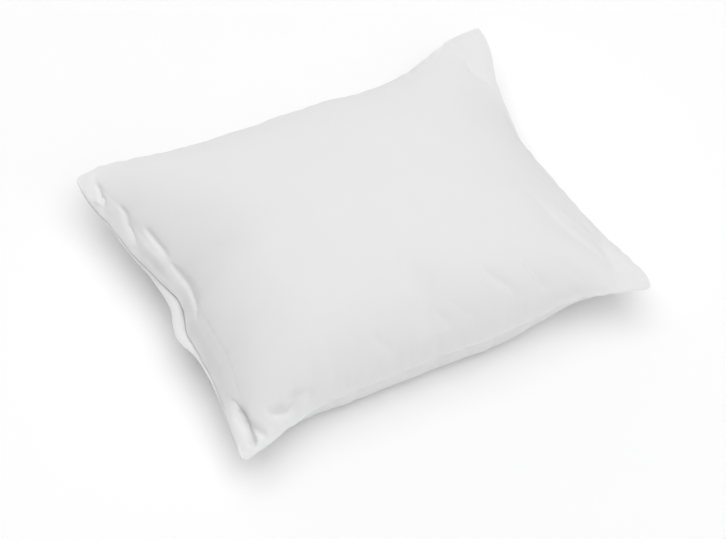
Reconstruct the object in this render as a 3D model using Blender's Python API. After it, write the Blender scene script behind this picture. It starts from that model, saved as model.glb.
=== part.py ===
"""Filled bed pillowcase, lying on its back panel.

The case is a front panel and a back panel of woven cotton, sewn together along two long sides
and one short side. The other short side is its open, hemmed end. Case and filling are one
closed solid with a crown, drawn-in sides, four thin ears and a narrow mouth between two lips.

Metres. +X runs from the open end to the closed end, +Y from the front side to the back side,
+Z up. The origin is under the middle of the pillow, on the surface it rests on.
"""

import math
from typing import NamedTuple

import bmesh
import bpy
from mathutils import Vector

NAME = "filled_pillowcase"

# The case laid flat, before it is filled.
CUT_LENGTH = 0.600
CUT_WIDTH = 0.500

# The filling, seen from the side.
CROWN_RISE = 0.074
BELLY_DROP = 0.088
FULLNESS = 0.75
FLOOR_ROLL = 0.010

# The cloth itself stands a little way off the filling, right up to the seams.
CLOTH_LOFT = 0.009
CLOTH_FLANK = 4.0
CLOTH_FULLNESS = 0.5
SEAM_WIDTH = 0.004

# Empty cloth between each edge of the case and the edge of the filling.
OPEN_MARGIN = 0.020
CLOSED_MARGIN = 0.022
FRONT_MARGIN = 0.006
BACK_MARGIN = 0.008

# How squarely the filling meets each side: 2 is a long slope, 4 a full shoulder.
OPEN_FLANK = 2.6
CLOSED_FLANK = 3.4
FRONT_FLANK = 3.0
BACK_FLANK = 3.0

# The sewn edge and the open end.
EDGE_THICKNESS = 0.003
LIP_THICKNESS = 0.003
MOUTH_DEPTH = 0.018
MOUTH_FIRST = 0.03
MOUTH_FULL = 0.12

# Cells along, across and through the solid, and how far they crowd towards its edges.
CELLS_ALONG = 48
CELLS_ACROSS = 40
CELLS_THROUGH = 4
CROWDING = 0.5

CLOTH_COLOUR = (0.86, 0.86, 0.86, 1.0)
CLOTH_ROUGHNESS = 0.9


class Corner(NamedTuple):
    """A corner of the filled case in plan, and the radius of its tip."""

    x: float
    y: float
    tip_radius: float


class SeamRow(NamedTuple):
    """A place along a sewn side: how far it is drawn in from the chord, and its height."""

    share: float
    drawn_in: float
    height: float


class MouthRow(NamedTuple):
    """A place along the open end, for its upper and its lower lip."""

    share: float
    upper_in: float
    upper_height: float
    lower_in: float
    lower_height: float


class Fold(NamedTuple):
    """A soft trough in the front panel, from one place to another, as shares of the cut.

    A negative depth is a ridge.
    """

    from_length: float
    from_width: float
    to_length: float
    to_width: float
    half_width: float
    depth: float


OPEN_FRONT = Corner(-0.290, -0.245, 0.010)
CLOSED_FRONT = Corner(0.297, -0.240, 0.009)
CLOSED_BACK = Corner(0.294, 0.238, 0.005)
OPEN_BACK = Corner(-0.298, 0.248, 0.007)

# From the open end to the closed end.
FRONT_SEAM = [
    SeamRow(share=0.00, drawn_in=0.000, height=0.048),
    SeamRow(share=0.05, drawn_in=0.007, height=0.050),
    SeamRow(share=0.13, drawn_in=0.019, height=0.053),
    SeamRow(share=0.22, drawn_in=0.028, height=0.056),
    SeamRow(share=0.48, drawn_in=0.027, height=0.056),
    SeamRow(share=0.64, drawn_in=0.023, height=0.056),
    SeamRow(share=0.82, drawn_in=0.026, height=0.056),
    SeamRow(share=0.92, drawn_in=0.013, height=0.056),
    SeamRow(share=1.00, drawn_in=0.000, height=0.052),
]
BACK_SEAM = [
    SeamRow(share=0.00, drawn_in=0.000, height=0.066),
    SeamRow(share=0.06, drawn_in=-0.003, height=0.064),
    SeamRow(share=0.13, drawn_in=0.003, height=0.062),
    SeamRow(share=0.27, drawn_in=0.013, height=0.059),
    SeamRow(share=0.42, drawn_in=0.018, height=0.058),
    SeamRow(share=0.56, drawn_in=0.021, height=0.058),
    SeamRow(share=0.70, drawn_in=0.031, height=0.058),
    SeamRow(share=0.80, drawn_in=0.027, height=0.059),
    SeamRow(share=0.92, drawn_in=0.003, height=0.062),
    SeamRow(share=1.00, drawn_in=0.000, height=0.066),
]
# From the front side to the back side.
CLOSED_SEAM = [
    SeamRow(share=0.00, drawn_in=0.000, height=0.052),
    SeamRow(share=0.05, drawn_in=-0.003, height=0.053),
    SeamRow(share=0.22, drawn_in=0.014, height=0.056),
    SeamRow(share=0.35, drawn_in=0.024, height=0.057),
    SeamRow(share=0.48, drawn_in=0.033, height=0.057),
    SeamRow(share=0.60, drawn_in=0.038, height=0.058),
    SeamRow(share=0.70, drawn_in=0.031, height=0.058),
    SeamRow(share=0.82, drawn_in=0.017, height=0.060),
    SeamRow(share=0.92, drawn_in=0.001, height=0.063),
    SeamRow(share=1.00, drawn_in=0.000, height=0.066),
]
OPEN_MOUTH = [
    MouthRow(share=0.00, upper_in=0.000, upper_height=0.048, lower_in=0.000, lower_height=0.048),
    MouthRow(share=0.06, upper_in=0.005, upper_height=0.051, lower_in=0.005, lower_height=0.047),
    MouthRow(share=0.14, upper_in=0.011, upper_height=0.056, lower_in=0.010, lower_height=0.049),
    MouthRow(share=0.25, upper_in=0.020, upper_height=0.060, lower_in=0.018, lower_height=0.053),
    MouthRow(share=0.34, upper_in=0.021, upper_height=0.062, lower_in=0.017, lower_height=0.054),
    MouthRow(share=0.41, upper_in=0.022, upper_height=0.063, lower_in=0.007, lower_height=0.054),
    MouthRow(share=0.46, upper_in=0.030, upper_height=0.063, lower_in=0.009, lower_height=0.054),
    MouthRow(share=0.52, upper_in=0.038, upper_height=0.063, lower_in=0.015, lower_height=0.054),
    MouthRow(share=0.60, upper_in=0.028, upper_height=0.063, lower_in=0.020, lower_height=0.055),
    MouthRow(share=0.70, upper_in=0.016, upper_height=0.062, lower_in=0.015, lower_height=0.055),
    MouthRow(share=0.80, upper_in=0.009, upper_height=0.063, lower_in=0.008, lower_height=0.056),
    MouthRow(share=0.93, upper_in=-0.001, upper_height=0.065, lower_in=-0.001, lower_height=0.060),
    MouthRow(share=1.00, upper_in=0.000, upper_height=0.066, lower_in=0.000, lower_height=0.066),
]

FOLDS = [
    # The pleat behind the hem, by the front corner, and the ridge beside it.
    Fold(0.034, 0.170, 0.052, 0.030, half_width=0.008, depth=0.010),
    Fold(0.068, 0.055, 0.090, 0.020, half_width=0.009, depth=-0.003),
    # The crease behind the hem, where the filling ends.
    Fold(0.046, 0.840, 0.048, 0.640, half_width=0.009, depth=0.005),
    Fold(0.048, 0.640, 0.028, 0.500, half_width=0.009, depth=0.004),
    Fold(0.028, 0.500, 0.036, 0.360, half_width=0.009, depth=0.002),
    # The hollows inside the closed end.
    Fold(0.930, 0.840, 0.955, 0.500, half_width=0.018, depth=0.005),
    Fold(0.925, 0.400, 0.965, 0.080, half_width=0.016, depth=0.004),
    # The dimples over the front seam.
    Fold(0.100, 0.060, 0.125, 0.010, half_width=0.010, depth=0.004),
    Fold(0.140, 0.055, 0.200, 0.020, half_width=0.010, depth=0.004),
    Fold(0.800, 0.140, 0.805, 0.070, half_width=0.012, depth=0.003),
    Fold(0.690, 0.130, 0.675, 0.070, half_width=0.012, depth=0.003),
]


def blend(start, end, share):
    """A number or vector part of the way from start to end."""
    return start * (1.0 - share) + end * share


def smooth_step(low, high, value):
    """0 below low, 1 above high, and a soft S between them."""
    share = min(max((value - low) / (high - low), 0.0), 1.0)
    return share * share * (3.0 - 2.0 * share)


def read_rows(rows, share):
    """A row's values at any share, on a smooth curve through the table."""
    index = max(i for i, row in enumerate(rows[:-1]) if row.share <= share)
    here, there = rows[index], rows[index + 1]
    before, after = rows[max(index - 1, 0)], rows[min(index + 2, len(rows) - 1)]
    span = there.share - here.share
    step = (share - here.share) / span
    values = []
    for a, b, c, d in zip(before[1:], here[1:], there[1:], after[1:]):
        slope_here = (c - a) / (there.share - before.share) * span
        slope_there = (d - b) / (after.share - here.share) * span
        bend = (c - b) * (3.0 - 2.0 * step) - slope_here * (2.0 - step) - slope_there * (1.0 - step)
        values.append(b + slope_here * step + bend * step * step)
    return values


def side_point(start, end, inward, share, drawn_in, height):
    """A point on one side of the case, drawn in from the chord between two corners."""
    chord = Vector((blend(start.x, end.x, share), blend(start.y, end.y, share), height))
    return chord + inward * drawn_in


def front_point(along):
    """The front seam, at a share of the way from the open end."""
    drawn_in, height = read_rows(FRONT_SEAM, along)
    return side_point(OPEN_FRONT, CLOSED_FRONT, Vector((0, 1, 0)), along, drawn_in, height)


def back_point(along):
    """The back seam, at a share of the way from the open end."""
    drawn_in, height = read_rows(BACK_SEAM, along)
    return side_point(OPEN_BACK, CLOSED_BACK, Vector((0, -1, 0)), along, drawn_in, height)


def closed_point(across):
    """The closed end's seam, at a share of the way from the front."""
    drawn_in, height = read_rows(CLOSED_SEAM, across)
    return side_point(CLOSED_FRONT, CLOSED_BACK, Vector((-1, 0, 0)), across, drawn_in, height)


def lip_point(across, upper):
    """The middle of the upper or lower lip's edge, at a share of the way from the front."""
    upper_in, upper_height, lower_in, lower_height = read_rows(OPEN_MOUTH, across)
    drawn_in, height = (upper_in, upper_height) if upper else (lower_in, lower_height)
    return side_point(OPEN_FRONT, OPEN_BACK, Vector((1, 0, 0)), across, drawn_in, height)


def seam_surface(along, across, upper):
    """The surface stretched between the four sides, which each panel starts from."""
    lengthwise = blend(front_point(along), back_point(along), across)
    crosswise = blend(lip_point(across, upper), closed_point(across), along)
    front_corners = blend(lip_point(0.0, upper), closed_point(0.0), along)
    back_corners = blend(lip_point(1.0, upper), closed_point(1.0), along)
    return lengthwise + crosswise - blend(front_corners, back_corners, across)


def flank(share, low_margin, high_margin, low_power, high_power):
    """How full the case is along one direction: 1 in the middle, 0 past the filling."""
    place = 2.0 * (share - low_margin) / (1.0 - low_margin - high_margin) - 1.0
    power = low_power if place < 0.0 else high_power
    return 1.0 - min(abs(place), 1.0) ** power


def filling(along, across):
    """How far the filling lifts a panel: 1 in the middle, 0 in the ears and margins."""
    lengthwise = flank(along, OPEN_MARGIN / CUT_LENGTH, CLOSED_MARGIN / CUT_LENGTH,
                       OPEN_FLANK, CLOSED_FLANK)
    crosswise = flank(across, FRONT_MARGIN / CUT_WIDTH, BACK_MARGIN / CUT_WIDTH,
                      FRONT_FLANK, BACK_FLANK)
    return (lengthwise * crosswise) ** FULLNESS


def loft(along, across):
    """How far a panel stands off the seam surface by itself, from the seams inwards."""
    length_share, width_share = SEAM_WIDTH / CUT_LENGTH, SEAM_WIDTH / CUT_WIDTH
    lengthwise = flank(along, length_share, length_share, CLOTH_FLANK, CLOTH_FLANK)
    crosswise = flank(across, width_share, width_share, CLOTH_FLANK, CLOTH_FLANK)
    return CLOTH_LOFT * (lengthwise * crosswise) ** CLOTH_FULLNESS


def fold_depth(along, across):
    """How far the folds pull the front panel down at one place."""
    place = Vector((along * CUT_LENGTH, across * CUT_WIDTH))
    total = 0.0
    for fold in FOLDS:
        start = Vector((fold.from_length * CUT_LENGTH, fold.from_width * CUT_WIDTH))
        run = Vector((fold.to_length * CUT_LENGTH, fold.to_width * CUT_WIDTH)) - start
        nearest = min(max((place - start).dot(run) / run.length_squared, 0.0), 1.0)
        distance = (place - start - run * nearest).length
        total += fold.depth * math.exp(-((distance / fold.half_width) ** 2))
    return total


def rest_on_floor(height):
    """A height kept at or above the floor, rolling softly onto it."""
    if height <= -FLOOR_ROLL:
        return 0.0
    if height >= FLOOR_ROLL:
        return height
    return (height + FLOOR_ROLL) ** 2 / (4.0 * FLOOR_ROLL)


def front_panel(along, across):
    """A point on the crowned front panel, which faces up."""
    point = seam_surface(along, across, upper=True)
    point.z += EDGE_THICKNESS / 2.0 + CROWN_RISE * filling(along, across) + loft(along, across)
    point.z -= fold_depth(along, across) * smooth_step(0.0, FRONT_MARGIN / CUT_WIDTH, across)
    return point


def back_panel(along, across):
    """A point on the back panel, flat where it rests on the floor."""
    point = seam_surface(along, across, upper=False)
    point.z -= EDGE_THICKNESS / 2.0 + BELLY_DROP * filling(along, across) + loft(along, across)
    point.z = rest_on_floor(point.z)
    return point


def mouth_opening(across):
    """How open the mouth is: 0 where the side seams close it, 1 between them."""
    return smooth_step(MOUTH_FIRST, MOUTH_FULL, min(across, 1.0 - across))


def lips(across, level):
    """A point on the open end: two lips with a narrow groove between them.

    Level runs from 0 at the back panel's edge to 1 at the front panel's, in quarters.
    """
    upper = lip_point(across, upper=True)
    lower = lip_point(across, upper=False)
    half_lip = Vector((0.0, 0.0, LIP_THICKNESS / 2.0))
    root = (upper + lower) / 2.0
    root.x = upper.x + MOUTH_DEPTH
    stations = [lower - half_lip, lower + half_lip, root, upper - half_lip, upper + half_lip]
    sealed = (upper + lower) / 2.0
    sealed.z += (level - 0.5) * EDGE_THICKNESS
    open_point = stations[round(level * CELLS_THROUGH)]
    return blend(sealed, open_point, mouth_opening(across))


def sewn_edge(along, across, level):
    """A point on the thin wall of a sewn side, between the two panels' edges."""
    return blend(back_panel(along, across), front_panel(along, across), level)


def crowd(share):
    """A share of the way across, with the cells finer near both edges."""
    return blend(share, (1.0 - math.cos(math.pi * share)) / 2.0, CROWDING)


def round_tips(along, across):
    """Pulls the cut's square corners in to the radius of each tip."""
    low_length, low_width = along < 0.5, across < 0.5
    if low_length:
        corner = OPEN_FRONT if low_width else OPEN_BACK
    else:
        corner = CLOSED_FRONT if low_width else CLOSED_BACK
    radius = corner.tip_radius
    from_end = (along if low_length else 1.0 - along) * CUT_LENGTH
    from_side = (across if low_width else 1.0 - across) * CUT_WIDTH
    if from_end >= radius or from_side >= radius:
        return along, across
    a, b = 1.0 - from_end / radius, 1.0 - from_side / radius
    from_end = radius * (1.0 - a * math.sqrt(1.0 - b * b / 2.0)) / CUT_LENGTH
    from_side = radius * (1.0 - b * math.sqrt(1.0 - a * a / 2.0)) / CUT_WIDTH
    return (from_end if low_length else 1.0 - from_end,
            from_side if low_width else 1.0 - from_side)


def place(cube_point):
    """Where a point of the unit cube goes on the filled case."""
    level = cube_point.z
    along, across = round_tips(crowd(cube_point.x), crowd(cube_point.y))
    if along == 0.0:
        return lips(across, level)
    if level == 1.0:
        return front_panel(along, across)
    if level == 0.0:
        return back_panel(along, across)
    return sewn_edge(along, across, level)


def divided_cube():
    """A unit cube with one corner at the origin, divided along all three axes."""
    mesh = bmesh.new()
    bmesh.ops.create_cube(mesh, size=1.0)
    bmesh.ops.translate(mesh, vec=(0.5, 0.5, 0.5), verts=mesh.verts)
    for axis, cells in enumerate((CELLS_ALONG, CELLS_ACROSS, CELLS_THROUGH)):
        along_axis = [edge for edge in mesh.edges
                      if abs(edge.verts[0].co[axis] - edge.verts[1].co[axis]) > 0.5]
        bmesh.ops.subdivide_edges(mesh, edges=along_axis, cuts=cells - 1, use_grid_fill=True)
    return mesh


def centre_on_origin(mesh):
    """Moves the solid so that the origin is under the middle of its box."""
    for axis in (0, 1):
        values = [vert.co[axis] for vert in mesh.verts]
        middle = (min(values) + max(values)) / 2.0
        for vert in mesh.verts:
            vert.co[axis] -= middle


def cloth_material():
    """Plain white cotton."""
    material = bpy.data.materials.new("white_cotton")
    material.use_nodes = True
    shader = material.node_tree.nodes["Principled BSDF"]
    shader.inputs["Base Color"].default_value = CLOTH_COLOUR
    shader.inputs["Roughness"].default_value = CLOTH_ROUGHNESS
    shader.inputs["Metallic"].default_value = 0.0
    return material


def make_pillowcase(collection):
    """The filled case as one closed solid."""
    mesh = divided_cube()
    for vert in mesh.verts:
        vert.co = place(Vector(round(value, 6) for value in vert.co))
    centre_on_origin(mesh)
    bmesh.ops.recalc_face_normals(mesh, faces=mesh.faces)
    data = bpy.data.meshes.new(NAME)
    mesh.to_mesh(data)
    mesh.free()
    data.shade_smooth()
    data.materials.append(cloth_material())
    pillowcase = bpy.data.objects.new(NAME, data)
    collection.objects.link(pillowcase)
    return pillowcase


def main():
    """Empties the scene and builds the pillowcase in its own collection."""
    for leftover in list(bpy.data.objects):
        bpy.data.objects.remove(leftover)
    collection = bpy.data.collections.new("pillowcase")
    bpy.context.scene.collection.children.link(collection)
    make_pillowcase(collection)


main()
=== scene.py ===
"""Filled bed pillowcase in bleached white cotton percale, lying on its back panel.

The case is cut 600 x 500 mm, sewn on three sides, turned right side out and hemmed at the open
end. Metres throughout. +X runs from the open end to the closed end, +Y from the front side to
the back side, +Z up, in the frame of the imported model.
"""

import logging
import math
from dataclasses import dataclass
from enum import Enum
from typing import NamedTuple, Sequence

import bpy
import numpy as np
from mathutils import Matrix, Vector


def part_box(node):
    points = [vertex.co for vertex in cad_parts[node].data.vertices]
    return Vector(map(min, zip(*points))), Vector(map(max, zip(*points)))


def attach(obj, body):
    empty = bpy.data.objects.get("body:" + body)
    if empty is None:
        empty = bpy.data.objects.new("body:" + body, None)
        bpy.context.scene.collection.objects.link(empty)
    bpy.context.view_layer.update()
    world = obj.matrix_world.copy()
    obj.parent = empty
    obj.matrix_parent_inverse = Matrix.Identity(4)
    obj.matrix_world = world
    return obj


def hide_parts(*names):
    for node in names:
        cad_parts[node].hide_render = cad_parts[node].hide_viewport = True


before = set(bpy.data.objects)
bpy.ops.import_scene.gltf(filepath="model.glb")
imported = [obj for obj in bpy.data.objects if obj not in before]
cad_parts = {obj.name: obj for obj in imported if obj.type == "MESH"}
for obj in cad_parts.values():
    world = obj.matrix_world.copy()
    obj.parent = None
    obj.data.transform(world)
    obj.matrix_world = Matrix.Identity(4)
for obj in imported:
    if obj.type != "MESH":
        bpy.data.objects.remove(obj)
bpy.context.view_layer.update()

LOG = logging.getLogger("pillowcase")

NODE = "filled_pillowcase"
BODY = "root"
CUT_PLACE = "cut_place"

# The sRGB curve: a straight foot up to the knee, and a power above it.
SRGB_KNEE = 0.04045
SRGB_FOOT = 12.92
SRGB_OFFSET = 0.055
SRGB_POWER = 2.4

# How many random values a line and a sheet of them hold, and how far in their reading starts,
# so that a place a little outside the cloth can be read too.
LINE_VALUES = 4096
SHEET_VALUES = 256
FIRST_VALUE = 8.0

# How relief dies away from an edge: evenly, or slowly at first and then more steeply.
STEADY_FADE = 1.0
SOFT_FADE = 1.5

Array = np.ndarray


# ---------------------------------------------------------------------------------------------
# Rows of the maker's tables
# ---------------------------------------------------------------------------------------------


class Panel(Enum):
    """The two panels of the case."""

    FRONT = "front"
    BACK = "back"


class Side(Enum):
    """The four sides of the case."""

    OPEN = "open"
    CLOSED = "closed"
    FRONT = "front"
    BACK = "back"


class Corner(NamedTuple):
    """A corner of the filled case in plan, and the radius of its tip."""

    x: float
    y: float
    tip_radius: float


class SewnSide(NamedTuple):
    """A sewn side: the sides that it starts and ends at, which way is inwards, and its seeds.

    The first seed picks the puckers beside it, and the second the waves of its edge.
    """

    side: Side
    start: Side
    end: Side
    inward: tuple[float, float]
    seed: int
    wave_seed: int


class SeamRow(NamedTuple):
    """A place along a sewn side: how far it is drawn in from the chord, and its height."""

    share: float
    drawn_in: float
    height: float


class MouthRow(NamedTuple):
    """A place along the open end, for its upper and its lower lip."""

    share: float
    upper_in: float
    upper_height: float
    lower_in: float
    lower_height: float


class FillingRow(NamedTuple):
    """A place along a side, and how far from the side the filling stops there."""

    share: float
    margin: float


class Wave(NamedTuple):
    """A layer of soft random values: its strength, its spacing in metres, and its seed."""

    strength: float
    spacing: float
    seed: int


class Gathers(NamedTuple):
    """Small waves that run in from a seam, where the thread draws the cloth up.

    They lean a little to one side and the other, grow over a short way from the seam and die
    away over their reach. Their strength varies along the seam, and so may their reach.
    """

    height: float
    reach: float
    fading: float
    grows_over: float
    waves: Wave
    strength: Wave
    lean: Wave
    reaching: Wave = Wave(0.0, 1.0, 0)


class Crease(NamedTuple):
    """A trough pressed into a panel along a path over the flat cloth.

    The path is a list of (from the open end, from the front side) in metres. A negative depth
    is a ridge. Sharpness goes from 0, a soft round hollow, to 1, a pinched valley between two
    bulges. Lean makes the flank on the path's left wider, or narrower where it is negative. The
    trough starts and ends over shares of its path.
    """

    path: tuple[tuple[float, float], ...]
    half_width: float
    depth: float
    sharpness: float = 0.0
    lean: float = 0.0
    starts_over: float = 0.35
    ends_over: float = 0.35


SEWN_SIDES = (
    SewnSide(Side.FRONT, Side.OPEN, Side.CLOSED, inward=(0.0, 1.0), seed=0, wave_seed=0),
    SewnSide(Side.CLOSED, Side.FRONT, Side.BACK, inward=(-1.0, 0.0), seed=1, wave_seed=2),
    SewnSide(Side.BACK, Side.OPEN, Side.CLOSED, inward=(0.0, -1.0), seed=2, wave_seed=1),
)

# Share of the way from the open end to the closed end, drawn in, height.
FRONT_SEAM = tuple(SeamRow(*row) for row in (
    (0.00, 0.000, 0.048), (0.05, 0.007, 0.050), (0.13, 0.019, 0.053), (0.22, 0.028, 0.056),
    (0.48, 0.027, 0.056), (0.64, 0.023, 0.056), (0.82, 0.026, 0.056), (0.92, 0.013, 0.056),
    (1.00, 0.000, 0.052),
))
BACK_SEAM = tuple(SeamRow(*row) for row in (
    (0.00, 0.000, 0.066), (0.06, -0.006, 0.064), (0.13, -0.001, 0.062), (0.27, 0.011, 0.059),
    (0.42, 0.016, 0.058), (0.56, 0.019, 0.058), (0.70, 0.028, 0.058), (0.80, 0.023, 0.059),
    (0.92, 0.001, 0.062), (1.00, 0.000, 0.066),
))
# Share of the way from the front side to the back side, drawn in, height.
CLOSED_SEAM = tuple(SeamRow(*row) for row in (
    (0.00, 0.000, 0.052), (0.05, -0.003, 0.053), (0.22, 0.016, 0.056), (0.35, 0.026, 0.057),
    (0.48, 0.033, 0.057), (0.60, 0.038, 0.058), (0.70, 0.031, 0.058), (0.82, 0.020, 0.060),
    (0.92, 0.003, 0.063), (1.00, 0.000, 0.066),
))
# Share of the way from the front side to the back side, then drawn in and height of the upper
# lip, and of the lower lip, which shows below it in the middle.
OPEN_MOUTH = tuple(MouthRow(*row) for row in (
    (0.00, 0.0000, 0.0480, 0.0000, 0.0480), (0.06, 0.0050, 0.0500, 0.0050, 0.0485),
    (0.14, 0.0115, 0.0545, 0.0100, 0.0525), (0.25, 0.0205, 0.0580, 0.0180, 0.0555),
    (0.34, 0.0215, 0.0600, 0.0165, 0.0560), (0.41, 0.0225, 0.0610, 0.0095, 0.0530),
    (0.46, 0.0305, 0.0610, 0.0135, 0.0510), (0.52, 0.0355, 0.0610, 0.0225, 0.0510),
    (0.60, 0.0275, 0.0605, 0.0225, 0.0535), (0.70, 0.0165, 0.0605, 0.0148, 0.0570),
    (0.80, 0.0095, 0.0615, 0.0082, 0.0600), (0.93, -0.0005, 0.0640, -0.0010, 0.0628),
    (1.00, 0.0000, 0.0660, 0.0000, 0.0660),
))

# The filling stops well short of the corners, which leaves flat ears, and comes close to the
# sides between them. Share of the way along the side, margin.
FRONT_FILLING = tuple(FillingRow(*row) for row in (
    (0.00, 0.022), (0.10, 0.012), (0.22, 0.003), (0.50, 0.001), (0.86, 0.003), (1.00, 0.020),
))
BACK_FILLING = tuple(FillingRow(*row) for row in (
    (0.00, 0.020), (0.15, 0.008), (0.50, 0.004), (0.80, 0.006), (0.90, 0.020), (1.00, 0.042),
))
CLOSED_FILLING = tuple(FillingRow(*row) for row in (
    (0.00, 0.040), (0.10, 0.036), (0.20, 0.028), (0.30, 0.018), (0.42, 0.009), (0.55, 0.005),
    (0.68, 0.008), (0.77, 0.020), (0.86, 0.036), (1.00, 0.056),
))
OPEN_FILLING = tuple(FillingRow(*row) for row in (
    (0.00, 0.024), (0.10, 0.015), (0.18, 0.008), (0.28, 0.005), (0.38, 0.006), (0.48, 0.008),
    (0.58, 0.017), (0.66, 0.020), (0.78, 0.014), (0.90, 0.014), (1.00, 0.026),
))

# The fine puckers right beside a seam, and the wider soft folds that run further in.
PUCKERS = Gathers(
    height=0.0016, reach=0.011, fading=STEADY_FADE, grows_over=0.00504,
    waves=Wave(1.0, 0.0065, 0), strength=Wave(0.45, 0.045, 10), lean=Wave(0.25, 0.060, 20),
    reaching=Wave(0.5, 0.030, 30))
SOFT_FOLDS = Gathers(
    height=0.0015, reach=0.036, fading=SOFT_FADE, grows_over=0.014,
    waves=Wave(1.0, 0.019, 44), strength=Wave(0.40, 0.080, 48), lean=Wave(0.45, 0.090, 40))

# How the two hems waver at the mouth: up and down together, up and down apart, and in and out.
LIPS_TOGETHER = (Wave(0.7, 0.026, 301), Wave(0.3, 0.011, 302))
LIPS_APART = (Wave(1.0, 0.019, 303),)
LIP_INWARD = {
    Panel.FRONT: (Wave(0.6, 0.031, 304), Wave(0.4, 0.012, 305)),
    Panel.BACK: (Wave(0.6, 0.031, 304), Wave(0.4, 0.012, 306)),
}

FRONT_CREASES = (
    # The deep pleat behind the hem, by the front corner, with the flap of hem on one side and
    # the filled body on the other.
    Crease(((0.010, 0.086), (0.013, 0.070), (0.017, 0.056), (0.0195, 0.044), (0.0215, 0.031),
            (0.0225, 0.018), (0.0225, 0.004)),
           half_width=0.0040, depth=0.0120, sharpness=0.8, lean=-0.3, starts_over=0.5,
           ends_over=0.12),
    Crease(((0.007, 0.068), (0.011, 0.052), (0.016, 0.038), (0.0165, 0.026)),
           half_width=0.0030, depth=0.0030, sharpness=0.6, starts_over=0.5),
    Crease(((0.025, 0.040), (0.028, 0.026), (0.036, 0.014), (0.043, 0.006)),
           half_width=0.0040, depth=0.0040, sharpness=0.5, ends_over=0.2),
    # The crease behind the hem, in two strokes, and the hem pushed up beside it.
    Crease(((0.028, 0.368), (0.0285, 0.345), (0.027, 0.322), (0.0245, 0.298)),
           half_width=0.0030, depth=0.0045, sharpness=1.0, lean=0.3, starts_over=0.2),
    Crease(((0.0245, 0.306), (0.0185, 0.276), (0.0155, 0.250), (0.016, 0.224), (0.017, 0.190)),
           half_width=0.0040, depth=0.0045, sharpness=0.9, lean=0.3, starts_over=0.25),
    Crease(((0.017, 0.366), (0.018, 0.338), (0.017, 0.312), (0.012, 0.284)),
           half_width=0.0075, depth=-0.0026),
    # Crumples in the hem by the back corner.
    Crease(((0.018, 0.484), (0.019, 0.466), (0.014, 0.448), (0.010, 0.430)),
           half_width=0.0034, depth=0.0038, sharpness=0.8),
    Crease(((0.005, 0.454), (0.008, 0.446), (0.012, 0.440)),
           half_width=0.0028, depth=-0.0030),
    Crease(((0.024, 0.430), (0.021, 0.404), (0.013, 0.378), (0.011, 0.352)),
           half_width=0.0044, depth=0.0034, sharpness=0.8),
    # The broad hollow where the filling stops short of the closed end, with the cloth standing
    # up again a little between it and the seam, and a shallow one nearer the back ear.
    Crease(((0.522, 0.196), (0.527, 0.162), (0.532, 0.128), (0.538, 0.102), (0.543, 0.080),
            (0.550, 0.059), (0.562, 0.045), (0.576, 0.032)),
           half_width=0.0130, depth=0.0024, lean=-0.4, starts_over=0.5, ends_over=0.4),
    Crease(((0.543, 0.186), (0.550, 0.156), (0.558, 0.128), (0.569, 0.102), (0.580, 0.078),
            (0.588, 0.052)),
           half_width=0.0060, depth=-0.0010, starts_over=0.5, ends_over=0.4),
    Crease(((0.520, 0.350), (0.545, 0.318), (0.572, 0.286)),
           half_width=0.0150, depth=0.0014, starts_over=0.5, ends_over=0.5),
    # Drag lines from the front corner, and over the front seam.
    Crease(((0.048, 0.034), (0.056, 0.022), (0.068, 0.014), (0.084, 0.010), (0.106, 0.012)),
           half_width=0.0045, depth=0.0070, sharpness=0.5, lean=0.3),
    Crease(((0.074, 0.026), (0.094, 0.016), (0.124, 0.010)),
           half_width=0.0050, depth=0.0040, sharpness=0.4),
    Crease(((0.384, 0.066), (0.392, 0.048), (0.405, 0.031), (0.420, 0.016)),
           half_width=0.0060, depth=0.0030, sharpness=0.5, lean=0.3),
    Crease(((0.440, 0.056), (0.447, 0.035), (0.452, 0.021), (0.468, 0.010)),
           half_width=0.0060, depth=0.0026, sharpness=0.5, lean=0.3),
    Crease(((0.300, 0.036), (0.310, 0.020), (0.326, 0.009)),
           half_width=0.0060, depth=0.0018, sharpness=0.4),
    Crease(((0.206, 0.040), (0.218, 0.022), (0.238, 0.010)),
           half_width=0.0060, depth=0.0020, sharpness=0.4),
)
BACK_CREASES = (
    # Drag lines from the four corners.
    *(Crease(path, half_width=0.0080, depth=0.0036, sharpness=0.4) for path in (
        ((0.035, 0.105), (0.070, 0.060), (0.120, 0.030)),
        ((0.040, 0.415), (0.075, 0.450), (0.120, 0.472)),
        ((0.555, 0.090), (0.520, 0.060), (0.480, 0.035)),
        ((0.560, 0.410), (0.530, 0.445), (0.490, 0.470)),
    )),
    # One over each long seam.
    *(Crease(path, half_width=0.0060, depth=0.0020, sharpness=0.4) for path in (
        ((0.200, 0.015), (0.208, 0.040), (0.222, 0.070)),
        ((0.360, 0.488), (0.352, 0.460), (0.338, 0.430)),
    )),
)

# Each panel's creases, and the seed that its own seeds are counted from.
CREASES = {Panel.FRONT: FRONT_CREASES, Panel.BACK: BACK_CREASES}
PANEL_SEEDS = {Panel.FRONT: 100, Panel.BACK: 500}


# ---------------------------------------------------------------------------------------------
# Small helpers
# ---------------------------------------------------------------------------------------------


def linear_colour(hex_value: str) -> tuple[float, float, float, float]:
    """Turns an sRGB hex colour to linear light.

    Args:
        hex_value: Six hex digits, such as "F2F2F0".

    Returns:
        The colour as linear red, green, blue and alpha.
    """
    channels = [int(hex_value[i:i + 2], 16) / 255.0 for i in (0, 2, 4)]
    light = [c / SRGB_FOOT if c <= SRGB_KNEE
             else ((c + SRGB_OFFSET) / (1.0 + SRGB_OFFSET)) ** SRGB_POWER for c in channels]
    return (light[0], light[1], light[2], 1.0)


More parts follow.
